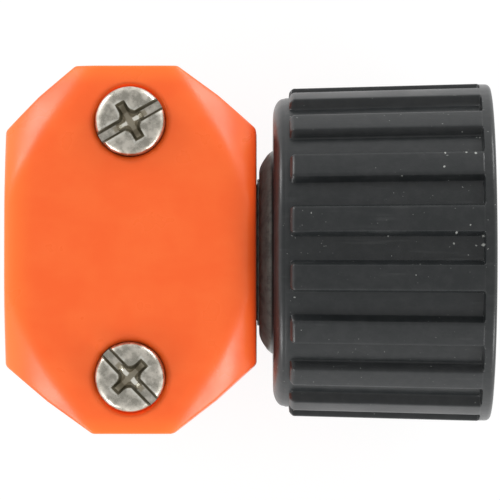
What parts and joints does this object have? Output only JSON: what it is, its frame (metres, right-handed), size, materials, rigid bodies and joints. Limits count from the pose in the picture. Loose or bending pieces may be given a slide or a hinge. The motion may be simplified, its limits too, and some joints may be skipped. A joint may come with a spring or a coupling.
{
  "type": "hose mender",
  "caption": "Female garden hose mender: ribbed swivel nut with a washer on a barbed stem, and a split screw clamp that squeezes the hose onto the barbs.",
  "frame": {"origin": "centre of the mender's bounding box, on the hose axis", "axes": "+X along the hose axis from the clamp's mouth to the swivel nut's rim, +Z along the clamp screws towards their heads, +Y from the lower screw to the upper screw"},
  "size_m": [0.05, 0.0378, 0.0352],
  "materials": {
    "orange_plastic": "satin moulded plastic with a faint mottle",
    "black_plastic": "satin black moulded plastic, lightly scuffed",
    "washer_rubber": "matt black rubber",
    "plated_steel": "zinc-plated steel, slightly dull, grime in the recesses"
  },
  "bodies": {
    "base": {"rear_clamp_half": "orange_plastic", "upper_square_nut": "plated_steel", "lower_square_nut": "plated_steel", "barbed_stem": "black_plastic"},
    "cover": {"front_clamp_half": "orange_plastic"},
    "upper_screw": {"upper_screw": "plated_steel"},
    "lower_screw": {"lower_screw": "plated_steel"},
    "swivel": {"swivel_nut": "black_plastic", "hose_washer": "washer_rubber"}
  },
  "joints": [
    {"name": "cover_lift", "type": "slide", "parent": "base", "child": "cover", "axis": [0, 0, 1], "range_m": [0, 0.00476]},
    {"name": "upper_screw_turn", "type": "hinge", "parent": "cover", "child": "upper_screw", "pos_m": [-0.01215, 0.013, 0], "axis": [0, 0, 1], "range_deg": [0, 2160]},
    {"name": "lower_screw_turn", "type": "hinge", "parent": "cover", "child": "lower_screw", "pos_m": [-0.01215, -0.013, 0], "axis": [0, 0, 1], "range_deg": [0, 2160]},
    {"name": "nut_swivel", "type": "hinge", "parent": "base", "child": "swivel", "pos_m": [0, 0, 0], "axis": [1, 0, 0], "continuous": true}
  ],
  "couplings": [
    {"joint": "upper_screw_turn", "follows": "cover_lift", "rad_per_m": 7915.8},
    {"joint": "lower_screw_turn", "follows": "cover_lift", "rad_per_m": 7915.8}
  ]
}
